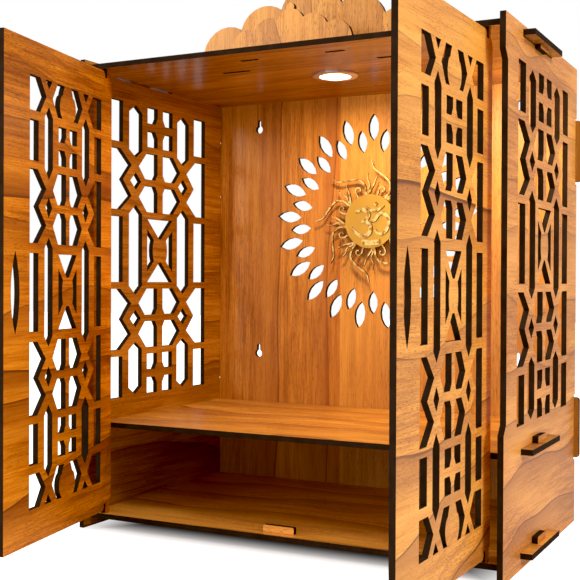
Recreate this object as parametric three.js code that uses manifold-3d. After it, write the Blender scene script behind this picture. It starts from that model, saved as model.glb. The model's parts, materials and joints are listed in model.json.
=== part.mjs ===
// Household altar cabinet: a knock-down home temple of laser-cut boards, veneered on both
// faces.  Two fretwork side panels carry a top, a shelf and a bottom by long through-tabs,
// each tab locked outside by a small upright key.  The back board has tabs in open notches,
// two fretwork doors turn on pins cut with their own boards, and two scalloped crests stand
// in slots in the top.  A sun medallion hangs on the back and a small downlight under the top.
//
// Millimetres, +Z up, +X to the right of someone facing the doors, +Y to the back.
// The cabinet is laid out from its centre line, the front edge of its sides and its feet,
// and the finished group is then moved so that the origin lies under the middle of its box.

import * as THREE from 'three';
import { mergeVertices } from 'three/addons/utils/BufferGeometryUtils.js';
import Module from 'manifold-3d';

// ---------------------------------------------------------------- driving dimensions

const BOARD = 5.5;               // thickness of every board
const FIT = 0.25;                // gap between boards that meet
const SLOT_PLAY = 1.0;           // how much longer a slot is than its tab, at each end

const INNER_WIDTH = 450;         // between the two side panels
const SIDE_DEPTH = 285;
const SIDE_HEIGHT = 499;
const PANEL_SETBACK = 9;         // top and bottom stand back from the front of the sides
const SHELF_SETBACK = 24.5;      // the shelf clears the tails of the open doors
const TOP_Z = 489.5;             // underside of the top
const SHELF_Z = 105.5;           // underside of the shelf
const BOTTOM_Z = 10;             // underside of the bottom

const TAB_FRONT = 58;            // long tabs of top, shelf and bottom, along the depth
const TAB_BACK = 165;
const TAB_PROUD = 11;            // how far they stand out of the side panels

const TOP_SLOT_EASE = 1;         // the sides' top slots are cut a little lower than the top

const KEY_FRONT = 98;            // locking keys, along the depth
const KEY_LENGTH = 31;
const KEY_NECK_INSET = 4;        // the neck in the mortise is shorter at each end
const KEY_HEAD = 6.5;            // head above the tab
const KEY_FOOT = 3;              // foot beyond the tab
const TOP_KEY_HEAD = 4;          // the top's keys are pushed in from below and are shorter
const TOP_KEY_FOOT = 1;

const SIDE_STEP = 7.5;           // the front edge of a side is cut back between two levels
const STEP_CHAMFER = 9;
const STEP_LOW = 130;
const STEP_HIGH = 467;

const BACK_TAB_LEVELS = [[71, 137], [375, 442]];
const BACK_TAB_PROUD = 5.5;
const BACK_TAB_ROUND = 3;
const BACK_SLOT_PLAY = 3;

const DOOR_WIDTH = 215;
const DOOR_LOW = 19;             // bottom and top edges of the doors
const DOOR_HIGH = 486;
const PIVOT_X = 208.85;          // door pins, from the centre line and from the front
const PIVOT_Y = 15.5;
const PIVOT_INSET = 8;           // from a door's hinge edge to its pin
const PIN = 5.5;                 // square pin, as wide as the board is thick
const PIN_HOLE = 8.5;
const PIN_REACH = 5;             // how far a pin enters its hole
const SHOULDER_RUN = 16;         // the hinge corners are lowered round the pins
const SHOULDER_DROP = 7;
const SHOULDER_ROUND = 5;
const COLLAR = 9.5;              // lower neck of a door, which rides on the bottom board
const LEFT_OPEN = 78.8;          // degrees from closed
const RIGHT_OPEN = 88.5;
const FINGER_INSET = 19.5;       // finger hole, from the free edge
const FINGER_HEIGHT = 76.5;
const FINGER_WIDTH = 15;

const STOP_LENGTH = 34;
const STOP_HEIGHT = 7;
const STOP_GAP = 0.4;            // to the closed doors

const RING_X = -10;              // centre of the leaf rings and of the medallion
const RING_Z = 336.5;
const RING_LEAVES = 21;
const KEYHOLE_X = 167.5;
const KEYHOLE_LEVELS = [172, 457];

const CREST_FRONT_Y = 39.5;      // front faces of the two crests
const CREST_REAR_Y = 86;

const LAMP_Y = 147;

// ---------------------------------------------------------------- finishes

const finish = (color, roughness, metalness = 0) =>
  new THREE.MeshStandardMaterial({ color, roughness, metalness });
const teak = () => finish(0xc98a45, 0.38);
const brass = () => finish(0xc9a045, 0.3, 1);
const steel = () => finish(0xd8d4cc, 0.35, 1);
const opal = () => finish(0xfff6e0, 0.5);

// ---------------------------------------------------------------- flat shapes

const DEG = Math.PI / 180;

const arcPoints = (x, y, radius, from, to, steps) =>
  Array.from({ length: steps + 1 }, (_, i) => {
    const angle = (from + ((to - from) * i) / steps) * DEG;
    return [x + radius * Math.cos(angle), y + radius * Math.sin(angle)];
  });

const rectangle = (x0, y0, x1, y1) => [[x0, y0], [x1, y0], [x1, y1], [x0, y1]];

const mirrorX = (points) => points.map(([x, y]) => [-x, y]).reverse();
const mirrorY = (points) => points.map(([x, y]) => [x, -y]).reverse();
const shift = (points, dx, dy) => points.map(([x, y]) => [x + dx, y + dy]);

function turn(points, degrees) {
  const c = Math.cos(degrees * DEG);
  const s = Math.sin(degrees * DEG);
  return points.map(([x, y]) => [c * x - s * y, s * x + c * y]);
}

// A round-cornered rectangle.
function softRectangle(x0, y0, x1, y1, round, steps = 3) {
  return [
    ...arcPoints(x1 - round, y0 + round, round, -90, 0, steps),
    ...arcPoints(x1 - round, y1 - round, round, 0, 90, steps),
    ...arcPoints(x0 + round, y1 - round, round, 90, 180, steps),
    ...arcPoints(x0 + round, y0 + round, round, 180, 270, steps),
  ];
}

// The almond between two equal arcs, lying along the first axis.
function almond(length, width, steps) {
  const radius = (length * length + width * width) / (4 * width);
  const half = Math.asin(length / 2 / radius) / DEG;
  const upper = arcPoints(0, width / 2 - radius, radius, 90 - half, 90 + half, steps);
  const lower = arcPoints(0, radius - width / 2, radius, 270 - half, 270 + half, steps);
  return [...upper.slice(0, -1), ...lower.slice(0, -1)];
}

// ---------------------------------------------------------------- solids

const wasm = await Module();
wasm.setup();

function solid(geometry) {
  const bare = geometry.clone();
  bare.deleteAttribute('normal');
  bare.deleteAttribute('uv');
  const merged = mergeVertices(bare, 1e-4);
  return new wasm.Manifold(new wasm.Mesh({
    numProp: 3,
    vertProperties: new Float32Array(merged.attributes.position.array),
    triVerts: new Uint32Array(merged.index.array),
  }));
}

function toGeometry(manifold) {
  const mesh = manifold.getMesh();
  const geometry = new THREE.BufferGeometry();
  geometry.setAttribute('position', new THREE.BufferAttribute(new Float32Array(mesh.vertProperties), 3));
  geometry.setIndex(new THREE.BufferAttribute(new Uint32Array(mesh.triVerts), 1));
  return geometry;
}

// A flat outline raised from z = 0.
function slab(outline, thickness = BOARD) {
  const shape = new THREE.Shape(outline.map(([x, y]) => new THREE.Vector2(x, y)));
  return new THREE.ExtrudeGeometry(shape, { depth: thickness, bevelEnabled: false });
}

// A board cut from an outline, with holes right through it.
function board(outline, holes = []) {
  if (!holes.length) return slab(outline);
  const cutters = holes.map((hole) => solid(slab(hole, BOARD + 2).translate(0, 0, -1)));
  return toGeometry(solid(slab(outline)).subtract(cutters.reduce((all, cutter) => all.add(cutter))));
}

// ---------------------------------------------------------------- placing boards

const LYING = new THREE.Matrix4();
const FACING = new THREE.Matrix4().makeBasis(
  new THREE.Vector3(1, 0, 0), new THREE.Vector3(0, 0, 1), new THREE.Vector3(0, -1, 0));
const SIDEWAYS = new THREE.Matrix4().makeBasis(
  new THREE.Vector3(0, 1, 0), new THREE.Vector3(0, 0, 1), new THREE.Vector3(1, 0, 0));

// A named mesh of a board: LYING boards keep their outline in plan, FACING boards show it
// to the front and grow to the front from `y`, SIDEWAYS boards show it to the side.
function place(name, geometry, stance, position, material = teak()) {
  const mesh = new THREE.Mesh(geometry, material);
  mesh.name = name;
  mesh.quaternion.setFromRotationMatrix(stance);
  mesh.position.set(...position);
  return mesh;
}

// ---------------------------------------------------------------- fretwork

// One window of the lattice, laid out from its own centre: x across, v up.  Only one
// quarter is given, because the rest is mirrored left to right and top to bottom.
const SIDE_WINDOW = {
  halfWidth: 99.5,
  halfHeight: 166.5,
  outer: 73.5,          // inner edge of the outer columns, and notches of their saw teeth
  sawEnd: 78,           // where the saw teeth meet the rails
  sawTip: 57,
  hexagon: 49.05,       // centre line of the tall hexagons
  hexagonHalf: 12.75,
  diamond: [10.5, 10],
  field: 26,            // outer edge of the middle column
  mullion: 5.5,
  kiteFar: 27,          // corners of the middle column's kites
  kiteTip: 43,
  kiteNear: 30.5,
  kiteCorner: [4.5, 7], // cut corners round the bosses, across and up
  paneCorner: [4.8, 7.5],
  rowA: [120.3, 166.5],
  bossA: [138.8, 147.8],
  rowB: [44.5, 112.8],
  barB: 7.5,            // height of the saw-tooth row's cross-bar
  toothRise: 17.5,      // tips of teeth and kites, from the row's middle
  rowC: 36.8,
  hexagonA: [105.5, 165],
  hexagonC: 51.5,
  hexagonPoint: 8.3,
  hexagonPointC: 10.5,
  apex: [2, 13.7],      // blunt tips of the middle field's triangles
  sliver: 24.5,         // outer corners of its slivers
  sliverIn: [12.5, 12.5],
  bossReach: 15,
};

const DOOR_WINDOW = {
  halfWidth: 73,
  halfHeight: 201.5,
  outer: 57,
  sawEnd: 58.5,
  sawTip: 42.5,
  hexagon: 37.75,
  hexagonHalf: 7.75,
  diamond: [6.5, 10],
  field: 18.75,
  mullion: 3.5,
  kiteFar: 19.5,
  kiteTip: 29.75,
  kiteNear: 20.5,
  kiteCorner: [3.5, 6],
  paneCorner: [3.7, 6.5],
  rowA: [122.5, 160.5],
  bossA: [138, 145.5],
  rowB: [46, 115],
  barB: 7.5,
  toothRise: 17.2,
  rowC: 36.75,
  hexagonA: [107, 176.5],
  hexagonC: 52,
  hexagonPoint: 10.5,
  hexagonPointC: 10,
  apex: [2.5, 14],
  sliver: 22.5,
  sliverIn: [9.5, 11.5],
  bossReach: 11.2,
  onionRow: [169, 201.5], // extra row at the top and at the bottom
};

function hexagonHole(x, half, low, high, point) {
  return [[x, low], [x + half, low + point], [x + half, high - point],
    [x, high], [x - half, high - point], [x - half, low + point]];
}

// The two small panes above and below a cross-bar, each with its corner at the boss cut off.
function bossPanes(w) {
  const pane = (edge, far, toward) => [
    [w.mullion, far], [w.field, far], [w.field, edge],
    [w.mullion + w.paneCorner[0], edge], [w.mullion, edge + toward * w.paneCorner[1]]];
  return [pane(w.bossA[1], w.rowA[1], 1), pane(w.bossA[0], w.rowA[0], -1)];
}

// The two kites above and below the cross-bar of a saw-tooth row.
function kites(w) {
  const [low, high] = w.rowB;
  const middle = (low + high) / 2;
  const kite = (far, toward) => [
    [w.mullion, far], [w.kiteFar, far], [w.kiteTip, middle + toward * w.toothRise],
    [w.kiteNear, middle + (toward * w.barB) / 2],
    [w.mullion + w.kiteCorner[0], middle + (toward * w.barB) / 2],
    [w.mullion, middle + toward * (w.barB / 2 + w.kiteCorner[1])]];
  return [kite(high, 1), kite(low, -1)];
}

function sawTooth(w) {
  const [low, high] = w.rowB;
  const middle = (low + high) / 2;
  return [[w.halfWidth, high], [w.sawEnd, high], [w.sawTip, middle + w.toothRise],
    [w.outer, middle], [w.sawTip, middle - w.toothRise], [w.sawEnd, low], [w.halfWidth, low]];
}

// The crossed arms and round boss of the middle field: triangles above and below, slivers
// left and right that bulge round the boss.
function crossedField(w) {
  const [tip, apex] = w.apex;
  const [inX, inV] = w.sliverIn;
  const sagitta = w.bossReach - inX;
  const radius = (inV * inV + sagitta * sagitta) / (2 * sagitta);
  const spread = Math.asin(inV / radius) / DEG;
  const triangle = [[w.field, w.rowC], [tip, apex], [-tip, apex], [-w.field, w.rowC]];
  const sliver = [[w.field, w.sliver],
    ...arcPoints(w.bossReach - radius, 0, radius, spread, -spread, 4), [w.field, -w.sliver]];
  return [triangle, mirrorY(triangle), sliver, mirrorX(sliver)];
}

// Saw teeth and small wedges of a door's extra row.
function onionRowEnds(w) {
  const [low, high] = w.onionRow;
  const edge = w.outer - 3;
  const [wedgeHalf, wedgeDepth] = [6.3, 8.8];
  return [
    [[w.halfWidth, high], [edge, high], [w.sawTip, (low + high) / 2], [edge, low], [w.halfWidth, low]],
    [[w.hexagon - wedgeHalf, high], [w.hexagon, high - wedgeDepth], [w.hexagon + wedgeHalf, high]],
  ];
}

// The slot beside the solid onion of the extra row: a round bulb with a nick above it, under
// a neck that narrows upwards.  The onion stands upright in the top and in the bottom row.
function onionSlot(w) {
  const [low, high] = w.onionRow;
  const radius = 16.4;
  const rise = 12;
  const bulb = arcPoints(0, low + rise, radius, -Math.asin(rise / radius) / DEG, 37.5, 7);
  const root = 20.5;
  const slot = [...bulb, [10.2, high - 9], [8.8, high - 4.5], [6.3, high], [root, high],
    [w.kiteTip + 0.75, (low + high) / 2], [root, low]];
  return [slot, shift(slot, 0, -low - high)];
}

function lattice(w) {
  const middleB = (w.rowB[0] + w.rowB[1]) / 2;
  const [diamondX, diamondV] = w.diamond;
  const diamond = [[diamondX, 0], [0, diamondV], [-diamondX, 0], [0, -diamondV]];
  const quarter = [
    rectangle(w.outer, w.rowA[0], w.halfWidth, w.rowA[1]),
    hexagonHole(w.hexagon, w.hexagonHalf, ...w.hexagonA, w.hexagonPoint),
    ...bossPanes(w),
    sawTooth(w),
    shift(diamond, w.hexagon, middleB),
    ...kites(w),
    ...(w.onionRow ? onionRowEnds(w) : []),
  ];
  const half = [
    ...quarter, ...quarter.map(mirrorY),
    rectangle(w.outer, -w.rowC, w.halfWidth, w.rowC),
    hexagonHole(w.hexagon, w.hexagonHalf, -w.hexagonC, w.hexagonC, w.hexagonPointC),
    ...(w.onionRow ? onionSlot(w) : []),
  ];
  return [...half, ...half.map(mirrorX), ...crossedField(w)];
}

// ---------------------------------------------------------------- side panels

// Undersides of the slots for the long tabs, and their tops.
const TAB_SLOTS = [[TOP_Z - TOP_SLOT_EASE, TOP_Z], [SHELF_Z, SHELF_Z], [BOTTOM_Z, BOTTOM_Z]]
  .map(([under, level]) => [under - FIT, level + BOARD + FIT]);

// Outline and holes in depth and height.
function sidePanel() {
  const notch = (low, high) => {
    const inner = SIDE_DEPTH - BOARD - FIT;
    return [[SIDE_DEPTH, low - BACK_SLOT_PLAY], [inner, low - BACK_SLOT_PLAY],
      [inner, high + BACK_SLOT_PLAY], [SIDE_DEPTH, high + BACK_SLOT_PLAY]];
  };
  const outline = [
    [0, 0], [SIDE_DEPTH, 0], ...notch(...BACK_TAB_LEVELS[0]), ...notch(...BACK_TAB_LEVELS[1]),
    [SIDE_DEPTH, SIDE_HEIGHT], [0, SIDE_HEIGHT],
    [0, STEP_HIGH], [SIDE_STEP, STEP_HIGH - STEP_CHAMFER],
    [SIDE_STEP, STEP_LOW + STEP_CHAMFER], [0, STEP_LOW],
  ];
  const slots = TAB_SLOTS.map(([low, high]) => rectangle(
    TAB_FRONT - SLOT_PLAY, low, TAB_BACK + SLOT_PLAY, high));
  const centreY = SIDE_DEPTH / 2 - 1;
  const centreZ = (STEP_LOW + STEP_HIGH) / 2 + 0.7;
  const window = lattice(SIDE_WINDOW).map((hole) => shift(hole, centreY, centreZ));
  return board(outline, [...slots, ...window]);
}

// ---------------------------------------------------------------- top, shelf and bottom

const SIDE_IN = INNER_WIDTH / 2;
const SIDE_OUT = SIDE_IN + BOARD;
const PANEL_BACK = SIDE_DEPTH - BOARD - FIT;

// A lying board with one long tab at each end, pierced for its keys.
function tabbedPanel(front, extraHoles = []) {
  const end = SIDE_IN - FIT;
  const tab = SIDE_OUT + TAB_PROUD;
  const rightEnd = [[end, front], [end, TAB_FRONT], [tab, TAB_FRONT], [tab, TAB_BACK],
    [end, TAB_BACK], [end, PANEL_BACK]];
  const mortise = rectangle(SIDE_OUT + FIT, KEY_FRONT + KEY_NECK_INSET - FIT,
    SIDE_OUT + 3 * FIT + BOARD, KEY_FRONT + KEY_LENGTH - KEY_NECK_INSET + FIT);
  return board([...rightEnd, ...mirrorX(rightEnd)], [mortise, mirrorX(mortise), ...extraHoles]);
}

const pinHoles = () => [-PIVOT_X, PIVOT_X].map((x) =>
  arcPoints(x, PIVOT_Y, PIN_HOLE / 2, 0, 330, 11));

// Slots for the feet of a crest, in plan.
const FRONT_FEET = [38, 58];
const REAR_FEET = [74, 107];
const crestSlots = (y, [from, to]) => {
  const slot = rectangle(from - FIT, y - FIT, to + FIT, y + BOARD + FIT);
  return [slot, mirrorX(slot)];
};

const LAMP_BODY = 20;            // radius of the lamp's body
const lampHole = () => arcPoints(0, LAMP_Y, LAMP_BODY + 0.5, 0, 345, 23);

function topPanel() {
  return tabbedPanel(PANEL_SETBACK, [
    ...pinHoles(), ...crestSlots(CREST_FRONT_Y, FRONT_FEET), ...crestSlots(CREST_REAR_Y, REAR_FEET),
    lampHole()]);
}

// ---------------------------------------------------------------- back

// A ring of almond holes that point to the ring's centre.
function leafRing(radius, length, width, phase) {
  return Array.from({ length: RING_LEAVES }, (_, i) => {
    const leaf = shift(almond(length, width, 5), radius, 0);
    return turn(leaf, 90 + phase + (360 * i) / RING_LEAVES);
  });
}

// A hanging slot: a round hole for the screw head and a narrow slot above it.
function keyhole(x, z) {
  const narrow = 2.25;
  const head = 5;
  const rise = 10;
  const spread = Math.acos(narrow / head) / DEG;
  return shift([...arcPoints(0, 0, head, 180 - spread, 360 + spread, 9),
    ...arcPoints(0, rise, narrow, 0, 180, 4)], x, z);
}

function backPanel() {
  const end = SIDE_IN - FIT;
  const tab = SIDE_OUT + BACK_TAB_PROUD;
  const round = BACK_TAB_ROUND;
  const corner = ([low, high]) => [[end, low], ...arcPoints(tab - round, low + round, round, -90, 0, 3),
    ...arcPoints(tab - round, high - round, round, 0, 90, 3), [end, high]];
  const rightEnd = [[end, BOTTOM_Z], ...BACK_TAB_LEVELS.flatMap(corner), [end, TOP_Z + BOARD]];
  const rings = [
    ...leafRing(114, 33, 14, 0),
    ...leafRing(98, 28, 12.5, 180 / RING_LEAVES),
  ].map((leaf) => shift(leaf, RING_X, RING_Z));
  const keyholes = KEYHOLE_LEVELS.flatMap((z) => [keyhole(-KEYHOLE_X, z), keyhole(KEYHOLE_X, z)]);
  return board([...rightEnd, ...mirrorX(rightEnd)], [...rings, ...keyholes]);
}

// ---------------------------------------------------------------- doors

// A closed door seen from the front, laid out from its pin: the free edge lies at +X.
function doorOutline() {
  const hinge = -PIVOT_INSET;
  const free = DOOR_WIDTH - PIVOT_INSET;
  const run = hinge + SHOULDER_RUN;
  const pin = PIN / 2;
  const collar = COLLAR / 2;
  const r = SHOULDER_ROUND;
  const lowShoulder = DOOR_LOW + SHOULDER_DROP;
  const highShoulder = DOOR_HIGH - SHOULDER_DROP;
  const seat = BOTTOM_Z + BOARD + FIT;
  const lowPin = BOTTOM_Z + BOARD - PIN_REACH;
  const highPin = TOP_Z + PIN_REACH;
  const collarSide = 180 + Math.acos((collar - PIVOT_INSET + r) / r) / DEG;
  return [
    [free, DOOR_LOW], [free, DOOR_HIGH],
    ...arcPoints(run + r, DOOR_HIGH - r, r, 90, 180, 3), [run, highShoulder],
    [pin, highShoulder], [pin, highPin], [-pin, highPin], [-pin, highShoulder],
    ...arcPoints(hinge + r, highShoulder - r, r, 90, 180, 3),
    ...arcPoints(hinge + r, lowShoulder + r, r, 180, collarSide, 3),
    [-collar, seat], [-pin, seat], [-pin, lowPin], [pin, lowPin], [pin, seat],
    [collar, seat], [collar, lowShoulder], [run, lowShoulder],
    ...arcPoints(run + r, DOOR_LOW + r, r, 180, 270, 3),
  ];
}

const DOOR_FREE_MARGIN = 44.5;     // from the window to the free edge

function doorBoard() {
  const centreZ = (DOOR_LOW + DOOR_HIGH) / 2;
  const windowX = DOOR_WIDTH - PIVOT_INSET - DOOR_FREE_MARGIN - DOOR_WINDOW.halfWidth;
  const fingerX = DOOR_WIDTH - PIVOT_INSET - FINGER_INSET;
  const finger = shift(turn(almond(FINGER_HEIGHT, FINGER_WIDTH, 8), 90), fingerX, centreZ);
  const window = lattice(DOOR_WINDOW).map((hole) => shift(hole, windowX, centreZ));
  return [doorOutline(), [finger, ...window]];
}

// hand is -1 for the left door and +1 for the right one; a door turns about its pin.
function door(name, hand, openAngle) {
  const hinge = new THREE.Group();
  hinge.position.set(hand * PIVOT_X, PIVOT_Y, 0);
  hinge.rotation.z = hand * openAngle * DEG;
  const [outline, holes] = doorBoard();
  const cut = hand < 0 ? board(outline, holes) : board(mirrorX(outline), holes.map(mirrorX));
  hinge.add(place(name, cut, FACING, [0, BOARD / 2, 0]));
  return hinge;
}

// ---------------------------------------------------------------- crests

const CREST_FOOT = BOARD - 0.5;  // feet end just inside the top's underside

// Where two scallops cross, on the outside.
function crossing([x0, z0, r0], [x1, z1, r1]) {
  const apart = Math.hypot(x1 - x0, z1 - z0);
  const [ux, uz] = [(x1 - x0) / apart, (z1 - z0) / apart];
  const along = (r0 * r0 - r1 * r1 + apart * apart) / (2 * apart);
  const out = Math.sqrt(r0 * r0 - along * along);
  return [x0 + along * ux + out * uz, z0 + along * uz - out * ux];
}

// A crest that stands on the top by two feet.  Circles are [centre x, height above the top,
// radius], from the outermost scallop to the one on the centre line.
function crest(feet, circles) {
  const [first] = circles;
  const last = circles[circles.length - 1];
  const joints = [
    [first[0] + Math.sqrt(first[2] ** 2 - first[1] ** 2), 0],
    ...circles.slice(1).map((circle, i) => crossing(circles[i], circle)),
    [0, last[1] + last[2]],
  ];
  const rim = circles.flatMap(([x, z, r], i) => {
    const [from, to] = [joints[i], joints[i + 1]].map(([px, pz]) => Math.atan2(pz - z, px - x) / DEG);
    const points = arcPoints(x, z, r, from, to, Math.max(4, Math.round(r / 3.5)));
    return i ? points.slice(1) : points;
  }).slice(0, -1);
  const [inner, outer] = feet;
  const right = [[inner, 0], [inner, -CREST_FOOT], [outer, -CREST_FOOT], [outer, 0], ...rim];
  const outline = [...right, [0, last[1] + last[2]], ...mirrorX(right)];
  return board(shift(outline, 0, TOP_Z + BOARD + FIT));
}

// ---------------------------------------------------------------- keys and stop

// A key seen from the side: a head longer than its neck, which passes the tab.
function key(headHeight, foot) {
  const neck = [KEY_NECK_INSET, KEY_LENGTH - KEY_NECK_INSET];
  const head = BOARD + FIT;
  const bevel = 1;
  return [[neck[0], -foot], [neck[1], -foot], [neck[1], head], [KEY_LENGTH, head],
    [KEY_LENGTH, head + headHeight - bevel], [KEY_LENGTH - bevel, head + headHeight],
    [bevel, head + headHeight], [0, head + headHeight - bevel], [0, head], [neck[0], head]];
}

const uprightKey = () => board(key(KEY_HEAD, KEY_FOOT));
const hangingKey = () => board(mirrorY(key(TOP_KEY_HEAD, TOP_KEY_FOOT)));

function lockingKey(name, hand, geometry, z) {
  const x = hand > 0 ? SIDE_OUT + 2 * FIT : -SIDE_OUT - 2 * FIT - BOARD;
  return place(name, geometry, SIDEWAYS, [x, KEY_FRONT, z]);
}

// ---------------------------------------------------------------- downlight

const LAMP_FLANGE = 25;
const LAMP_LENS = 17;
const LAMP_DEPTH = 13;

const lathe = (profile, segments = 24) =>
  new THREE.LatheGeometry(profile.map(([r, z]) => new THREE.Vector2(r, z)), segments);

// Upright turned pieces: the lathe's own axis is laid along Z.
function turned(name, geometry, z, material) {
  const mesh = new THREE.Mesh(geometry, material);
  mesh.name = name;
  mesh.rotation.x = 90 * DEG;
  mesh.position.set(0, LAMP_Y, z);
  return mesh;
}

function lampBody() {
  const lip = -3;
  return lathe([[0, 1], [LAMP_LENS + 0.4, 1], [LAMP_LENS + 0.4, lip], [LAMP_FLANGE - 1.5, lip],
    [LAMP_FLANGE, lip + 1], [LAMP_FLANGE, -FIT], [LAMP_BODY, -FIT], [LAMP_BODY, LAMP_DEPTH],
    [0, LAMP_DEPTH]]);
}

function lampLens() {
  return lathe([[0, -6], [7, -5.4], [12.5, -3.8], [LAMP_LENS - 0.6, -1.6], [LAMP_LENS, -0.6],
    [LAMP_LENS, 0.7], [0, 0.7]]);
}

// ---------------------------------------------------------------- medallion

const DISC_RADIUS = 32.5;
const FLAME_THICK = 3;
const DISC_THICK = 4;
const RELIEF = 1.8;              // raised sign above the disc
const STUD_RADIUS = 9;
const STUD_LENGTH = 6;           // it stands off the back on a stud
const FLAMES = 8;
const FLAME_PHASE = 23;          // degrees of the first spiral, counter-clockwise from +X
const WISP_PHASE = 3;

// A ribbon of changing width along a smooth line: stations are [x, y, width].
function ribbon(stations, from, to, steps = 3) {
  const line = new THREE.CatmullRomCurve3(stations.map(([x, y, w]) => new THREE.Vector3(x, y, w)));
  const samples = line.getPoints((stations.length - 1) * steps);
  const thinnest = 0.3;
  const edge = samples.map((p, i) => {
    const before = samples[Math.max(0, i - 1)];
    const after = samples[Math.min(samples.length - 1, i + 1)];
    const dx = after.x - before.x;
    const dy = after.y - before.y;
    const scale = Math.max(p.z, thinnest) / 2 / Math.hypot(dx, dy);
    return [[p.x - dy * scale, p.y + dx * scale], [p.x + dy * scale, p.y - dx * scale]];
  });
  const outline = [...edge.map(([left]) => left), ...edge.map(([, right]) => right).reverse()];
  return slab(outline, to - from).translate(0, 0, from);
}

// A flame that leaves the disc along +X and sweeps counter-clockwise: a long side that runs
// out in a curved tip, a short side, and a spiral hook between them.
const FLAME_OUTER = [[28, -6.5, 2.6], [34, -8, 2.5], [41.3, -9.8, 2.4], [49.6, -7.7, 2.4], [54, -1.9, 2.2],
  [57.4, 9, 1.9], [60.6, 19.5, 1.5], [68.2, 25.8, 0.8]];
const FLAME_INNER = [[26, 15.5, 2.4], [31.5, 14.8, 2.2], [36.5, 13.6, 2], [43.5, 12.4, 1.6],
  [52.7, 12.5, 0.8]];
const FLAME_SPIRAL = [[28, 2.5, 2], [34, 3.4, 1.9], [39.6, 4, 1.8], [43.8, 1.2, 1.8], [42.4, -2.8, 1.7],
  [38.8, -2.8, 1.6], [38.4, -0.4, 1.2]];
const WISP = [[29, 0, 2.2], [37, 1.6, 1.9], [44, -1.4, 1.6], [51, 1.2, 1.2], [58, 0, 0.7]];

// The raised sign: an upper bowl, a lower bowl with its tail, a curl, a crescent, and the
// block under them.
const SIGN = [
  [[-18, 11, 3], [-8, 14, 4.4], [-1, 8, 4.6], [-5, 1, 4], [-11, -1, 3]],
  [[-5, 1, 3.6], [1, -6, 4.6], [0, -14, 5], [-6, -18, 4.8], [-14, -16, 4.2], [-20, -11, 3.2],
    [-23.6, -7, 1.6]],
  [[1, -1, 3], [8, 2, 3.4], [11, 7, 3.8], [18, 9, 4.2], [24, 4, 4.2], [24.6, -2, 4], [22, -11, 3.8],
    [17, -15, 3.6], [11, -15, 3], [7, -10, 2]],
  [[-5, 18, 1.2], [2, 13, 3.4], [10, 13, 3.6], [19, 18, 1.2]],
  [[-10, -25, 6], [2, -26, 6.6], [13, -25, 6]],
];
const SIGN_DOT = [[8, 20.5], 2.9];

function medallion() {
  const disc = lathe([[0, -STUD_LENGTH], [STUD_RADIUS, -STUD_LENGTH], [STUD_RADIUS, 0], [DISC_RADIUS, 0],
    [DISC_RADIUS, DISC_THICK], [0, DISC_THICK]], 40).rotateX(90 * DEG);
  let sun = solid(disc);
  const add = (geometry) => { sun = sun.add(solid(geometry)); };
  for (let i = 0; i < FLAMES; i += 1) {
    const around = (geometry, phase) => geometry.rotateZ((phase + (360 * i) / FLAMES) * DEG);
    [FLAME_OUTER, FLAME_INNER, FLAME_SPIRAL].forEach((line) =>
      add(around(ribbon(line, 0.4, FLAME_THICK), FLAME_PHASE)));
    add(around(ribbon(WISP, 0.7, FLAME_THICK - 0.5), WISP_PHASE));
  }
  SIGN.forEach((line) => add(ribbon(line, DISC_THICK - 0.5, DISC_THICK + RELIEF)));
  const [[dotX, dotY], dotRadius] = SIGN_DOT;
  add(slab(arcPoints(dotX, dotY, dotRadius, 0, 270, 3), RELIEF + 0.5)
    .translate(0, 0, DISC_THICK - 0.5));
  return toGeometry(sun);
}

// ---------------------------------------------------------------- assembly

const cabinet = new THREE.Group();

cabinet.add(
  place('side_panel_left', sidePanel(), SIDEWAYS, [-SIDE_OUT, 0, 0]),
  place('side_panel_right', sidePanel(), SIDEWAYS, [SIDE_IN, 0, 0]),
  place('top_panel', topPanel(), LYING, [0, 0, TOP_Z]),
  place('shelf', tabbedPanel(SHELF_SETBACK), LYING, [0, 0, SHELF_Z]),
  place('bottom_panel', tabbedPanel(PANEL_SETBACK, pinHoles()), LYING, [0, 0, BOTTOM_Z]),
  place('back_panel', backPanel(), FACING, [0, SIDE_DEPTH, 0]),
);

[['left', -1], ['right', 1]].forEach(([side, hand]) => {
  cabinet.add(
    lockingKey(`key_top_${side}`, hand, hangingKey(), TOP_Z + BOARD),
    lockingKey(`key_shelf_${side}`, hand, uprightKey(), SHELF_Z),
    lockingKey(`key_bottom_${side}`, hand, uprightKey(), BOTTOM_Z),
  );
});

cabinet.add(door('door_left', -1, LEFT_OPEN), door('door_right', 1, RIGHT_OPEN));

const stopFront = PIVOT_Y + BOARD / 2 + STOP_GAP;
cabinet.add(
  place('door_stop', board(softRectangle(-STOP_LENGTH / 2, 0, STOP_LENGTH / 2, STOP_HEIGHT, 0.8, 1)),
    FACING, [0, stopFront + BOARD, BOTTOM_Z + BOARD + FIT]),
  place('crest_front', crest(FRONT_FEET,
    [[48.7, 6.3, 18.7], [23.9, 16.1, 18], [0, 26, 15], [0, 42.5, 4.5]]),
  FACING, [0, CREST_FRONT_Y + BOARD, 0]),
  place('crest_rear', crest(REAR_FEET, [[99, 11.6, 31.5], [53, 29.5, 31], [0, 43.7, 36]]),
    FACING, [0, CREST_REAR_Y + BOARD, 0]),
  turned('led_downlight', lampBody(), TOP_Z, steel()),
  turned('led_lens', lampLens(), TOP_Z, opal()),
  place('sun_medallion', medallion(), FACING,
    [RING_X, SIDE_DEPTH - BOARD - STUD_LENGTH - FIT, RING_Z], brass()),
);

// The origin lies under the middle of the whole box, doors open as drawn.
cabinet.updateMatrixWorld(true);
const box = new THREE.Box3().setFromObject(cabinet, true);
cabinet.position.y = -(box.min.y + box.max.y) / 2;

export default cabinet;
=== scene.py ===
"""Looks of a household altar cabinet: teak-faced boards with charred edges, brass and a lamp."""

from __future__ import annotations

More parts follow.
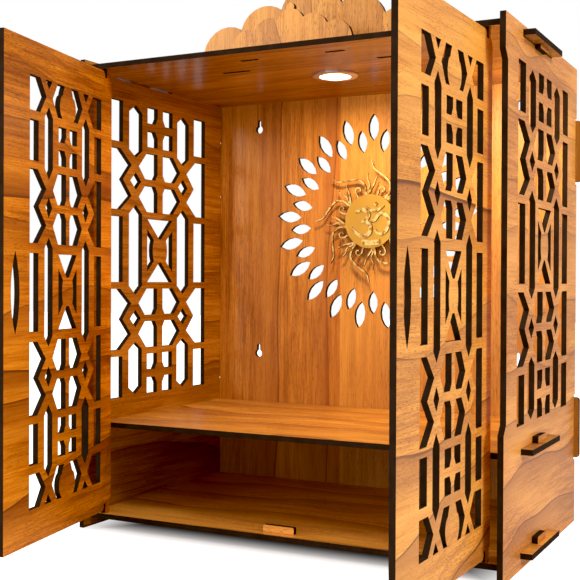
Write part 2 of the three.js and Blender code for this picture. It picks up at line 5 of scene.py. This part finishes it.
import json
import logging
import math
from collections.abc import Mapping, Sequence
from dataclasses import dataclass, field
from enum import Enum
from functools import partial

import bpy
from mathutils import Matrix, Vector

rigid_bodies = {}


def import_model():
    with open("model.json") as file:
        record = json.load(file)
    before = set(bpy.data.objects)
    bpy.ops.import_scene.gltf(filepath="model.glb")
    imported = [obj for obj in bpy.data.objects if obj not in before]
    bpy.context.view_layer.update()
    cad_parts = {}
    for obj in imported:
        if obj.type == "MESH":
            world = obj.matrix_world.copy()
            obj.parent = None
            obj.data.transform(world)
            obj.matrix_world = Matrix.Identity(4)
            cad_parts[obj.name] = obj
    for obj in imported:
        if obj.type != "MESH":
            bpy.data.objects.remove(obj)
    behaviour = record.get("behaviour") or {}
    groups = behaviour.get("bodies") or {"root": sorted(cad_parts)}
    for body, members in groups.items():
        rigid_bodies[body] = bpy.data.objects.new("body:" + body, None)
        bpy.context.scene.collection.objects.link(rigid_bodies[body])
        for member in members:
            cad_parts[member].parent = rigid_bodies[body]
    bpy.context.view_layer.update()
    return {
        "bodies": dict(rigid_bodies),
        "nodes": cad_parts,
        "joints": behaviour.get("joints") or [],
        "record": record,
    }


log = logging.getLogger("altar_cabinet")

MM = 0.001
WHITE = "#FFFFFF"
FACING_SHARE = 0.7  # above it a face counts as looking along the board's normal
SEED_STEP = (0.731, 0.417, 0.0)  # metres between two seeds, along, across and through
LOW_ZONE = (0.30, 0.06)  # heights in metres between which the figure grows to its low strength

# Settings that many nodes share.
SMOOTH = {"interpolation_type": "SMOOTHSTEP"}
TIMES = {"operation": "MULTIPLY"}
TIMES_PLUS = {"operation": "MULTIPLY_ADD"}
MINUS = {"operation": "SUBTRACT"}
UNSIGNED = {"operation": "ABSOLUTE"}
ALONG = {"operation": "DOT_PRODUCT", "out": "Value"}
COLOURS = {"data_type": "RGBA", "out": 2}

# Fades of teak's patterns: where each starts and is full, then its least and its most.
RING_SHADE = (0.3, 1.0, 0.0, 0.8)
RING_LINE = (0.965, 0.985, 0.0, 0.8)
FINE_SHADE = (0.5, 1.0, 0.0, 0.6)
FINE_PATCHES = (0.4, 0.6)
BAND_SHADE = (1.0, 0.0, 0.0, 0.8)
BAND_LINE = (0.1, 0.03, 0.0, 0.8)
PORE_DOTS = (0.52, 0.72, 0.0)
PORE_PATCHES = (0.25, 0.6)

# Places of colours on ramps.
TONE_STOPS = (0.62, 0.82, 1.0)
SOOT_STOPS = (0.35, 0.75)
BRASS_STOPS = (0.45, 0.62)
STEEL_STOPS = (0.4, 0.7)
OPAL_STOPS = (0.3, 0.9)


def srgb(code: str) -> tuple[float, float, float, float]:
    """Turns an sRGB hex colour to linear.

    Args:
        code: the colour as six hex digits with a leading hash.

    Returns:
        Linear red, green and blue, and an alpha of one.
    """
    parts = [int(code[i : i + 2], 16) / 255 for i in (1, 3, 5)]
    linear = [c / 12.92 if c <= 0.04045 else ((c + 0.055) / 1.055) ** 2.4 for c in parts]
    return (linear[0], linear[1], linear[2], 1.0)


def plug(node: bpy.types.Node, inputs: Mapping[int | str, object]) -> None:
    """Sets or links inputs of a node.

    Args:
        node: the node.
        inputs: socket names or places, each with a value, an sRGB code or a socket to link.
    """
    for key, value in inputs.items():
        if isinstance(value, bpy.types.NodeSocket):
            node.id_data.links.new(value, node.inputs[key])
        else:
            node.inputs[key].default_value = srgb(value) if isinstance(value, str) else value


def add_node(
    tree: bpy.types.NodeTree,
    kind: str,
    *values: object,
    at: Mapping[int | str, object] | None = None,
    out: int | str = 0,
    stops: Sequence[tuple[float, str]] = (),
    **settings: object,
) -> bpy.types.NodeSocket:
    """Adds one node with its settings and links.

    Args:
        tree: the node tree that gets it.
        kind: the node's type name, after "ShaderNode".
        values: its first inputs in order, as plug takes them.
        at: further inputs by name or place.
        out: the output that is wanted.
        stops: places and sRGB colours, where the node has a colour ramp.
        settings: properties of the node.

    Returns:
        The wanted output.
    """
    node = tree.nodes.new(f"ShaderNode{kind}")
    for name, value in settings.items():
        setattr(node, name, value)
    plug(node, {**dict(enumerate(values)), **(at or {})})
    if stops:
        elements = node.color_ramp.elements
        while len(elements) < len(stops):
            elements.new(1.0)
        for element, (place, colour) in zip(elements, stops, strict=True):
            element.position = place
            element.color = srgb(colour)
    return node.outputs[out]


def new_material(name: str) -> tuple[bpy.types.Material, bpy.types.NodeTree, bpy.types.Node]:
    """Makes an empty material.

    Args:
        name: the material's name.

    Returns:
        The material, its node tree and its shader.
    """
    material = bpy.data.materials.new(name)
    material.use_nodes = True
    tree = material.node_tree
    return material, tree, tree.nodes["Principled BSDF"]


def dress(piece: bpy.types.Object, material: bpy.types.Material) -> None:
    """Gives a piece one material in every slot."""
    if not piece.data.materials:
        piece.data.materials.append(material)
    for slot in piece.material_slots:
        slot.link = "OBJECT"
        slot.material = material


class Stance(Enum):
    """How a board stands: its normal and the direction of its grain."""

    SIDEWAYS = ((1.0, 0.0, 0.0), (0.0, 1.0, 0.0))
    UPRIGHT = ((0.0, 1.0, 0.0), (0.0, 0.0, 1.0))
    FACING = ((0.0, 1.0, 0.0), (-1.0, 0.0, 0.0))
    LYING = ((0.0, 0.0, 1.0), (1.0, 0.0, 0.0))

    @property
    def normal(self) -> Vector:
        """The board's own normal."""
        return Vector(self.value[0])

    @property
    def grain(self) -> Vector:
        """The direction of the grain."""
        return Vector(self.value[1])


@dataclass(frozen=True)
class Pattern:
    """Cloudy noise that is drawn out along the grain."""

    size_mm: float
    stretch: float = 1.0
    detail: float = 2.0

    def lay(self, tree: bpy.types.NodeTree, laid: bpy.types.NodeSocket) -> bpy.types.NodeSocket:
        """Adds the pattern to a tree.

        Args:
            tree: the node tree.
            laid: coordinates whose first axis is the grain.

        Returns:
            A value round one half.
        """
        add = partial(add_node, tree)
        drawn = add("VectorMath", laid, (1 / self.stretch, 1.0, 1.0), **TIMES)
        where = {"Vector": drawn, "Scale": 1 / (self.size_mm * MM), "Detail": self.detail}
        return add("TexNoise", at=where)


@dataclass(frozen=True)
class Plank:
    """A stretch across a board that has a tone of its own."""

    start_mm: float
    end_mm: float
    colour: str
    share: float


@dataclass(frozen=True)
class HeartBand:
    """A wide streak of dark heartwood with a crisp upper or lower rim."""

    level_mm: float
    run_mm: float  # how far it fades away downwards, or upwards where negative


@dataclass(frozen=True)
class TeakLaminate:
    """Teak laminate on fibreboard that a laser has cut, so every cut edge is charred.

    The face shows wide growth rings that darken to a crisp line, finer rings between them,
    and short dark pores, all under a satin film.  The edge is matt and nearly black.
    """

    pale: str = "#E4A64C"
    middle: str = "#CC8C38"
    dark: str = "#A06226"
    heart: str = "#9A5A30"  # brown heartwood under a ring's line
    line: str = "#5A2E14"
    char: str = "#2B1E15"
    char_warm: str = "#36271B"
    roughness: float = 0.38
    film: float = 0.4  # how much the satin film mirrors
    char_roughness: float = 0.95
    char_film: float = 0.1
    ior: float = 1.5
    ring_mm: float = 72.0
    sway: float = 2.6  # how far the rings wander, in rings
    fine_rings: float = 4.6  # finer rings in one wide one
    rim_sway: float = 0.09  # how far the rims of heart bands wander, in metres
    seam_mm: float = 0.4  # half the softness of a plank's edge
    drift: Pattern = Pattern(150.0, 2.6)
    patch: Pattern = Pattern(80.0, 2.5)
    streak: Pattern = Pattern(7.0, 1 / 0.06)
    fibre: Pattern = Pattern(1.2, 1 / 0.03)  # real fibres are finer: drawn as coarse as shows
    pore: Pattern = Pattern(0.9, 6.0, 1.0)  # real pores are finer too
    pore_share: float = 0.6
    soot_mm: float = 11.0
    fibre_share: float = 0.6  # shares of the patterns in the tone
    streak_share: float = 0.5
    patch_share: float = 0.5
    relief: float = 0.12
    relief_mm: float = 0.2

    def material(self, board: Board, normal: Vector, grain: Vector) -> bpy.types.Material:
        """Builds the finish of one board.

        Args:
            board: the board, with its figure and its seed.
            normal: its own normal, in the row frame.
            grain: the direction of its grain.

        Returns:
            The material.
        """
        material, tree, shader = new_material(f"teak_{board.node}")
        add = partial(add_node, tree)
        place = add("TexCoord", out="Object")
        across = normal.cross(grain)
        shift = Vector(SEED_STEP) * board.seed
        turn = Matrix((grain, across, normal)).to_euler("XYZ")
        laid = add("Mapping", place, shift, turn)
        reach = add("VectorMath", place, across, **ALONG)
        height = add("SeparateXYZ", place, out="Z")
        drift = self.drift.lay(tree, laid)
        fibre = self.fibre.lay(tree, laid)

        face = self.figured(tree, board, laid, height, drift, fibre)
        face = self.planked(tree, board.planks, reach, face)
        face = self.banded(tree, board.bands, height, drift, face)
        face = self.pored(tree, laid, face)

        soot = {"Vector": place, "Scale": 1 / (self.soot_mm * MM), "Detail": 3.0}
        chars = tuple(zip(SOOT_STOPS, (self.char, self.char_warm), strict=True))
        edge = add("ValToRGB", add("TexNoise", at=soot), stops=chars)
        facing = add("VectorMath", add("TexCoord", out="Normal"), normal, **ALONG)
        steep = add("Math", facing, **UNSIGNED)
        on_face = add("Math", steep, FACING_SHARE, operation="GREATER_THAN")
        gloss = (self.roughness - self.char_roughness, self.char_roughness)
        mirror = (self.film - self.char_film, self.char_film)
        relief = {"Strength": self.relief, "Distance": self.relief_mm * MM, "Height": fibre}
        plug(
            shader,
            {
                "Base Color": add("Mix", at={"Factor": on_face, 6: edge, 7: face}, **COLOURS),
                "Roughness": add("Math", on_face, *gloss, **TIMES_PLUS),
                "Specular IOR Level": add("Math", on_face, *mirror, **TIMES_PLUS),
                "IOR": self.ior,
                "Normal": add("Bump", at=relief),
            },
        )
        return material

    def figured(
        self,
        tree: bpy.types.NodeTree,
        board: Board,
        laid: bpy.types.NodeSocket,
        height: bpy.types.NodeSocket,
        drift: bpy.types.NodeSocket,
        fibre: bpy.types.NodeSocket,
    ) -> bpy.types.NodeSocket:
        """Colours the wood and draws its growth rings.

        Args:
            tree: the material's node tree.
            board: the board, with the strength of its figure.
            laid: coordinates along and across the grain.
            height: the height above the floor.
            drift: the pattern by which the rings wander.
            fibre: the pattern of the fibres.

        Returns:
            The colour.
        """
        add = partial(add_node, tree)
        patch = self.patch.lay(tree, laid)
        side = add("SeparateXYZ", laid, out="Y")
        wander = add("Math", drift, self.sway, **TIMES)
        phase = add("Math", side, 1 / (self.ring_mm * MM), wander, **TIMES_PLUS)
        ring = add("Math", phase, operation="FRACT")
        fine = add("Math", add("Math", phase, self.fine_rings, **TIMES), operation="FRACT")
        extra = add("MapRange", height, *LOW_ZONE, 0.0, board.low_figure - board.figure, **SMOOTH)
        strength = add("Math", extra, board.figure, operation="ADD")
        tone = add("Math", self.streak.lay(tree, laid), self.streak_share, **TIMES)
        for pattern, weight in ((fibre, self.fibre_share), (patch, self.patch_share)):
            tone = add("Math", pattern, weight, tone, **TIMES_PLUS)
        tones = tuple(zip(TONE_STOPS, (self.pale, self.middle, self.dark), strict=True))
        face = add("ValToRGB", tone, stops=tones)
        fine_shade = add("MapRange", fine, *FINE_SHADE, **SMOOTH)
        fine_patches = add("MapRange", patch, *FINE_PATCHES, **SMOOTH)
        layers = (
            (add("Math", fine_shade, fine_patches, **TIMES), self.heart),
            (add("MapRange", ring, *RING_SHADE, **SMOOTH), self.heart),
            (add("MapRange", ring, *RING_LINE, **SMOOTH), self.line),
        )
        for share, colour in layers:
            shown = add("Math", share, strength, **TIMES)
            face = add("Mix", at={"Factor": shown, 6: face, 7: colour}, **COLOURS)
        return face

    def planked(
        self,
        tree: bpy.types.NodeTree,
        planks: Sequence[Plank],
        reach: bpy.types.NodeSocket,
        face: bpy.types.NodeSocket,
    ) -> bpy.types.NodeSocket:
        """Gives stretches across the board their own tones.

        Args:
            tree: the material's node tree.
            planks: the stretches.
            reach: the distance across the board.
            face: the colour so far.

        Returns:
            The new colour.
        """
        add = partial(add_node, tree)
        for plank in planks:
            seam = ((plank.start_mm + way * self.seam_mm) * MM for way in (-1, 1))
            begun = add("MapRange", reach, *seam, 0.0, plank.share, **SMOOTH)
            inside = add("Math", reach, plank.end_mm * MM, operation="LESS_THAN")
            share = add("Math", begun, inside, **TIMES)
            face = add("Mix", at={"Factor": share, 6: face, 7: plank.colour}, **COLOURS)
        return face

    def banded(
        self,
        tree: bpy.types.NodeTree,
        bands: Sequence[HeartBand],
        height: bpy.types.NodeSocket,
        drift: bpy.types.NodeSocket,
        face: bpy.types.NodeSocket,
    ) -> bpy.types.NodeSocket:
        """Lays bands of heartwood along the board, each with a crisp rim.

        Args:
            tree: the material's node tree.
            bands: the bands.
            height: the height above the floor.
            drift: the pattern by which the rims wander.
            face: the colour so far.

        Returns:
            The new colour.
        """
        add = partial(add_node, tree)
        for band in bands:
            foot = band.level_mm * MM - self.rim_sway / 2
            rim = add("Math", drift, self.rim_sway, foot, **TIMES_PLUS)
            below = add("Math", rim, height, **MINUS)
            depth = add("Math", below, band.run_mm * MM, operation="DIVIDE")
            inside = add("Math", depth, 0.0, operation="GREATER_THAN")
            for fade, colour in ((BAND_SHADE, self.heart), (BAND_LINE, self.line)):
                shade = add("MapRange", depth, *fade, **SMOOTH)
                share = add("Math", shade, inside, **TIMES)
                face = add("Mix", at={"Factor": share, 6: face, 7: colour}, **COLOURS)
        return face

    def pored(
        self,
        tree: bpy.types.NodeTree,
        laid: bpy.types.NodeSocket,
        face: bpy.types.NodeSocket,
    ) -> bpy.types.NodeSocket:
        """Strews short dark pores.

        Args:
            tree: the material's node tree.
            laid: coordinates along and across the grain.
            face: the colour so far.

        Returns:
            The new colour.
        """
        add = partial(add_node, tree)
        pore, patch = self.pore.lay(tree, laid), self.patch.lay(tree, laid)
        dots = add("MapRange", pore, *PORE_DOTS, self.pore_share, **SMOOTH)
        where = add("MapRange", patch, *PORE_PATCHES, **SMOOTH)
        share = add("Math", dots, where, **TIMES)
        return add("Mix", at={"Factor": share, 6: face, 7: self.line}, **COLOURS)


@dataclass(frozen=True)
class CastBrass:
    """Polished cast brass: bright and blotched with tarnish, with painted shade and dark reflections
    on the side walls of its relief.
    """

    bright: str = "#FFDC8A"
    dull: str = "#B4803A"
    disc: str = "#E2AC4A"
    # painted shade and dark reflections on the side walls of the relief
    side: str = "#4A3010"
    roughness: float = 0.3
    tarnish: float = 0.14  # how much rougher the dull blotches are
    mottle_mm: float = 5.0
    relief: float = 0.25
    relief_mm: float = 0.4
    disc_face: float = 0.2225  # depth of the disc's own face, between its sign and its flames
    disc_play: float = 0.0004

    def material(self, name: str) -> bpy.types.Material:
        """Builds the metal.

        Args:
            name: the material's name.

        Returns:
            The material.
        """
        material, tree, shader = new_material(name)
        add = partial(add_node, tree)
        place = add("TexCoord", out="Object")
        blotch = {"Vector": place, "Scale": 1 / (self.mottle_mm * MM), "Detail": 3.0}
        mottle = add("TexNoise", at=blotch)
        tones = tuple(zip(BRASS_STOPS, (self.bright, self.dull), strict=True))
        colour = add("ValToRGB", mottle, stops=tones)
        depth = add("SeparateXYZ", place, out="Y")
        facing = add("SeparateXYZ", add("TexCoord", out="Normal"), out="Y")
        steep = add("Math", facing, **UNSIGNED)
        zones = (
            (add("Math", depth, self.disc_face, self.disc_play, operation="COMPARE"), self.disc),
            # side walls: painted shade and dark reflections
            (add("Math", steep, FACING_SHARE, operation="LESS_THAN"), self.side),
        )
        for share, tone in zones:
            colour = add("Mix", at={"Factor": share, 6: colour, 7: tone}, **COLOURS)
        polish = {"Value": mottle, "To Min": self.roughness, "To Max": self.roughness + self.tarnish}
        relief = {"Strength": self.relief, "Distance": self.relief_mm * MM, "Height": mottle}
        plug(
            shader,
            {
                "Base Color": colour,
                "Metallic": 1.0,
                "Roughness": add("MapRange", at=polish),
                "Normal": add("Bump", at=relief),
            },
        )
        return material


@dataclass(frozen=True)
class SatinSteel:
    """Satin plated steel of the lamp's rim, with a fine brushed grit."""

    bright: str = "#E4E0DA"
    shade: str = "#CFC9C1"
    roughness: float = 0.3
    grit_mm: float = 1 / 0.7

    def material(self, name: str) -> bpy.types.Material:
        """Builds the metal.

        Args:
            name: the material's name.

        Returns:
            The material.
        """
        material, tree, shader = new_material(name)
        add = partial(add_node, tree)
        grit = {"Vector": add("TexCoord", out="Object"), "Scale": 1 / (self.grit_mm * MM)}
        grain = add("TexNoise", at={**grit, "Detail": 2.0})
        tones = tuple(zip(STEEL_STOPS, (self.bright, self.shade), strict=True))
        colour = add("ValToRGB", grain, stops=tones)
        plug(shader, {"Base Color": colour, "Metallic": 1.0, "Roughness": self.roughness})
        return material


@dataclass(frozen=True)
class GlowingOpal:
    """Frosted plastic lens with a warm lamp behind it."""

    cream: str = "#FFF2D6"
    glow: str = "#FFD79A"
    strength: float = 9.0
    roughness: float = 0.45
    frost_mm: float = 6.25

    def material(self, name: str) -> bpy.types.Material:
        """Builds the lens.

        Args:
            name: the material's name.

        Returns:
            The material.
        """
        material, tree, shader = new_material(name)
        add = partial(add_node, tree)
        haze = {"Vector": add("TexCoord", out="Object"), "Scale": 1 / (self.frost_mm * MM)}
        frost = add("TexNoise", at={**haze, "Detail": 2.0})
        tones = tuple(zip(OPAL_STOPS, (self.cream, self.glow), strict=True))
        colour = add("ValToRGB", frost, stops=tones)
        plug(
            shader,
            {
                "Base Color": colour,
                "Emission Color": colour,
                "Emission Strength": self.strength,
                "Roughness": self.roughness,
            },
        )
        return material


# TEAK is the one laminate. The copies below are made lighter or darker board by board, which is
# painted light and painted shade.
TEAK = TeakLaminate(film=0.3)
# Lit copy for the right door and the crests: painted light.
TEAK_PAINTED_LIT = TeakLaminate(pale="#F8B154", middle="#E79B3E", dark="#BE7630", heart="#A6622C")
# Brightest copy for the bottom and the door stop: painted light.
TEAK_PAINTED_BRIGHT = TeakLaminate(pale="#FFBA56", middle="#F0A240", dark="#C88034", heart="#AC682C")
# Lit copy for the right side: painted light, a little pinker, with its own rings.
TEAK_PAINTED_LIT_PINK = TeakLaminate(
    pale="#EFA752", middle="#DC8F40", dark="#B56C2E", heart="#A4622A", film=0.3, ring_mm=55.0,
    sway=1.9, drift=Pattern(150.0, 2.0),
)
# Shaded copy for the left door and the keys: painted shade, darker and more saturated.
TEAK_PAINTED_SHADE = TeakLaminate(
    pale="#DE9028", middle="#C27318", dark="#904B12", heart="#7A3C14", film=0.22
)
# Darkest copy for the left side and the top, inside the cabinet: painted shade. Its lower roughness
# and film are its own.
TEAK_PAINTED_DEEP_SHADE = TeakLaminate(
    pale="#BE8234", middle="#A66A22", dark="#824E18", heart="#6E3E18", roughness=0.24, film=0.2
)
# Copy for the back, inside the cabinet: painted shade in a darker, more saturated palette, with its
# own rings and pores.
BACK_TEAK_PAINTED_SHADE = TeakLaminate(
    pale="#DE9A42", middle="#C58034", dark="#985C24", ring_mm=85.0, sway=1.1,
    drift=Pattern(150.0, 5.0), pore=Pattern(0.9, 8.0, 1.0), pore_share=0.42, film=0.25,
)
BACK_PLANKS = (
    Plank(-300.0, -225.0, "#5E3A10", 0.5),  # smoke-stained ends of the tabs
    Plank(-73.6, -53.4, "#9A5428", 0.35),  # a dark seam
    Plank(-53.4, 225.0, "#E4AE58", 0.26),  # a pale plank, partly its own tone and partly painted light where the lamps light the back's right
    Plank(225.0, 300.0, "#5E3A10", 0.5),
)


@dataclass(frozen=True)
class Board:
    """One laser-cut board of the cabinet."""

    node: str
    stance: Stance
    seed: float
    finish: TeakLaminate = TEAK
    figure: float = 0.45
    low_figure: float = 0.8  # near the floor
    bands: tuple[HeartBand, ...] = ()
    planks: tuple[Plank, ...] = ()
    turned: float = 0.0  # degrees about the upright axis

    def dress(self, frame: Mapping[str, object]) -> None:
        """Gives the board its laminate and its charred edges.
        """
        turn = Matrix.Rotation(math.radians(self.turned), 3, "Z")
        normal, grain = turn @ self.stance.normal, turn @ self.stance.grain
        dress(frame["nodes"][self.node], self.finish.material(self, normal, grain))
        log.info("dressed %s", self.node)


@dataclass
class Carcass:
    """The fixed boards: sides, back, top, shelf, bottom, crests, keys and stop."""

    frame: Mapping[str, object]
    boards: list[Board] = field(default_factory=list)

    def __post_init__(self) -> None:
        """Lists every fixed board with its stance and its figure."""
        # Finishes other than TEAK are lit and shaded copies of it: painted light and painted shade,
        # board by board.
        self.boards = [
            Board("side_panel_left", Stance.SIDEWAYS, 1.0, TEAK_PAINTED_DEEP_SHADE),
            Board("side_panel_right", Stance.SIDEWAYS, 2.3, TEAK_PAINTED_LIT_PINK),
            Board("back_panel", Stance.UPRIGHT, 3.1, BACK_TEAK_PAINTED_SHADE, 0.6, 0.6, planks=BACK_PLANKS),
            Board("top_panel", Stance.LYING, 4.7, TEAK_PAINTED_DEEP_SHADE),
            Board("shelf", Stance.LYING, 5.2),
            Board("bottom_panel", Stance.LYING, 6.4, TEAK_PAINTED_BRIGHT),
            Board("crest_front", Stance.UPRIGHT, 7.9, TEAK_PAINTED_LIT),
            Board("crest_rear", Stance.UPRIGHT, 8.6, TEAK_PAINTED_LIT),
            Board("door_stop", Stance.FACING, 9.5, TEAK_PAINTED_BRIGHT),
        ]
        for rank, level in enumerate(("top", "shelf", "bottom")):
            for side in ("left", "right"):
                # the keys get the shaded copy of the teak: painted shade
                key = Board(f"key_{level}_{side}", Stance.SIDEWAYS, 10.0 + rank, TEAK_PAINTED_SHADE)
                self.boards.append(key)

    def dress(self) -> None:
        """Dresses the boards one after another."""
        for board in self.boards:
            board.dress(self.frame)


@dataclass
class Doors:
    """The two hinged doors, which stand open at rest, so their normals are turned."""

    frame: Mapping[str, object]
    left_open: float = 78.8
    right_open: float = 88.5
    left_bands: tuple[HeartBand, ...] = (HeartBand(343.0, -45.0), HeartBand(180.0, 40.0))
    right_bands: tuple[HeartBand, ...] = (HeartBand(338.0, 58.0),)

    def dress(self) -> None:
        """Dresses both doors, each in its own turned frame."""
        # the left door gets the shaded copy of the teak: painted shade
        left = Board(
            "door_left", Stance.FACING, 21.3, TEAK_PAINTED_SHADE, 0.6, 0.9, self.left_bands,
            turned=-self.left_open,
        )
        # the right door gets the lit copy of the teak: painted light
        right = Board(
            "door_right", Stance.FACING, 34.8, TEAK_PAINTED_LIT, 0.4, 0.8, self.right_bands,
            turned=self.right_open,
        )
        for door in (left, right):
            door.dress(self.frame)


@dataclass
class Fittings:
    """The brass medallion and the lamp under the top."""

    frame: Mapping[str, object]

    def dress(self) -> None:
        """Dresses the metal pieces and the lens."""
        nodes = self.frame["nodes"]
        dress(nodes["sun_medallion"], CastBrass().material("cast_brass"))
        dress(nodes["led_downlight"], SatinSteel().material("satin_steel"))
        dress(nodes["led_lens"], GlowingOpal().material("glowing_opal"))
        log.info("dressed the medallion and the lamp")


@dataclass(frozen=True)
class Lamp:
    """One square area light, with places in metres."""

    name: str
    place: tuple[float, float, float]
    aim: tuple[float, float, float]
    watts: float
    side: float
    colour: str = WHITE

    def light(self) -> None:
        """Adds the light to the scene."""
        data = bpy.data.lights.new(self.name, "AREA")
        data.energy = self.watts
        data.size = self.side
        data.color = srgb(self.colour)[:3]
        light = bpy.data.objects.new(self.name, data)
        light.location = Vector(self.place)
        way = Vector(self.aim) - Vector(self.place)
        light.rotation_euler = way.to_track_quat("-Z", "Y").to_euler()
        bpy.context.scene.collection.objects.link(light)


MIDDLE = (0.0, 0.0, 0.25)
LAMPS = (
    Lamp("key", (2.217, -0.594, 1.471), MIDDLE, 41.0, 0.7, "#FFF7EC"),
    Lamp("high", (0.187, -1.063, 2.281), (0.0, 0.0, 0.4), 8.0, 0.8),
    Lamp("front", (0.0, -2.543, 0.791), MIDDLE, 5.0, 1.2),
    Lamp("left", (-1.55, -1.98, 0.9), (0.1, 0.2, 0.25), 17.0, 0.7),
    Lamp("sheen", (-0.43, -1.215, 0.45), (-0.01, 0.22, 0.336), 0.8, 0.35),
    Lamp("downlight", (0.0, 0.1, 0.479), (0.0, 0.1, 0.0), 0.8, 0.03, "#FFDDB0"),
    Lamp("back_glow", (0.13, 0.09, 0.465), (0.16, 0.24, 0.27), 0.5, 0.06, "#FFE2B8"),
)


@dataclass(frozen=True)
class Studio:
    """Pale floor, soft light, the lamp's own light, and the camera."""

    sensor_mm: float = 36.0
    lens_mm: float = 65.1166
    nearest: float = 0.01
    eye: tuple[float, float, float] = (0.4818, -0.93935, 0.2635)
    yaw: float = 27.28
    pitch: float = -0.453
    roll: float = 0.24
    sky: float = 0.5  # how much the white backdrop lights the object
    floor_side: float = 12.0
    floor_drop: float = 0.0004  # how far the floor lies below the object's foot
    shade_box: tuple[float, float, float] = (0.17, 0.09, 0.0957)  # half sizes, middle y
    shade_run: float = 0.085  # metres over which the shade round it turns pure white
    shade: str = "#585858"
    paper: str = "#ECECEC"
    black_point: float = 0.007  # deep shadows close up, as in print

    def floor(self) -> None:
        """Lays a white floor that isn't part of the object, with a soft shade at its foot."""
        bpy.ops.mesh.primitive_plane_add(
            size=self.floor_side, location=(0.0, 0.0, -self.floor_drop)
        )
        plane = bpy.context.object
        plane.name = "studio_floor"
        material, tree, shader = new_material("pale_floor")
        add = partial(add_node, tree)
        place = add("TexCoord", out="Object")
        half_x, half_y, middle_y = self.shade_box
        ways = []
        for axis, middle, half in (("X", 0.0, half_x), ("Y", middle_y, half_y)):
            off = add("Math", add("SeparateXYZ", place, out=axis), middle, **MINUS)
            ways.append(add("Math", add("Math", off, **UNSIGNED), half, **MINUS))
        away = add("Math", *ways, operation="MAXIMUM")
        clear = add("MapRange", away, 0.0, self.shade_run, **SMOOTH)
        seen = add("LightPath", out="Is Camera Ray")
        plug(
            shader,
            {
                "Base Color": add("ValToRGB", clear, stops=((0.0, self.shade), (1.0, self.paper))),
                "Roughness": 1.0,
                "Specular IOR Level": 0.0,
                "Emission Color": WHITE,
                "Emission Strength": add("Math", seen, clear, **TIMES),
            },
        )
        plane.data.materials.append(material)

    def backdrop(self) -> None:
        """Sets a world that the camera sees white and that lights the object softly."""
        world = bpy.data.worlds.new("studio")
        world.use_nodes = True
        tree = world.node_tree
        seen = add_node(tree, "LightPath", out="Is Camera Ray")
        shine = {"Value": seen, "To Min": self.sky, "To Max": 1.0}
        strength = add_node(tree, "MapRange", at=shine)
        plug(tree.nodes["Background"], {"Color": WHITE, "Strength": strength})
        bpy.context.scene.world = world

    def camera(self) -> None:
        """Places the camera from its yaw, pitch and roll."""
        yaw, pitch, roll = (math.radians(a) for a in (self.yaw, self.pitch, self.roll))
        ahead = Vector(
            (-math.sin(yaw) * math.cos(pitch), math.cos(yaw) * math.cos(pitch), math.sin(pitch))
        )
        level = Vector((math.cos(yaw), math.sin(yaw), 0.0))
        above = level.cross(ahead)
        right = level * math.cos(roll) + above * math.sin(roll)
        up = right.cross(ahead)
        data = bpy.data.cameras.new("camera")
        data.sensor_width = self.sensor_mm
        data.lens = self.lens_mm
        data.clip_start = self.nearest
        camera = bpy.data.objects.new("camera", data)
        basis = Matrix((right, up, -ahead)).transposed().to_4x4()
        camera.matrix_world = Matrix.Translation(Vector(self.eye)) @ basis
        bpy.context.scene.collection.objects.link(camera)
        bpy.context.scene.camera = camera

    def build(self) -> None:
        """Sets up the whole studio."""
        self.floor()
        self.backdrop()
        for lamp in LAMPS:
            lamp.light()
        self.camera()
        view = bpy.context.scene.view_settings
        view.view_transform = "Standard"
        view.use_curve_mapping = True
        view.curve_mapping.black_level = (self.black_point,) * 3
        view.curve_mapping.update()


def main() -> None:
    """Dresses the cabinet and sets up the studio."""
    logging.basicConfig(level=logging.INFO, format="%(name)s: %(message)s")
    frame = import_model()
    bpy.ops.object.select_all(action="DESELECT")
    Carcass(frame).dress()
    Doors(frame).dress()
    Fittings(frame).dress()
    Studio().build()


if __name__ == "__main__":
    main()
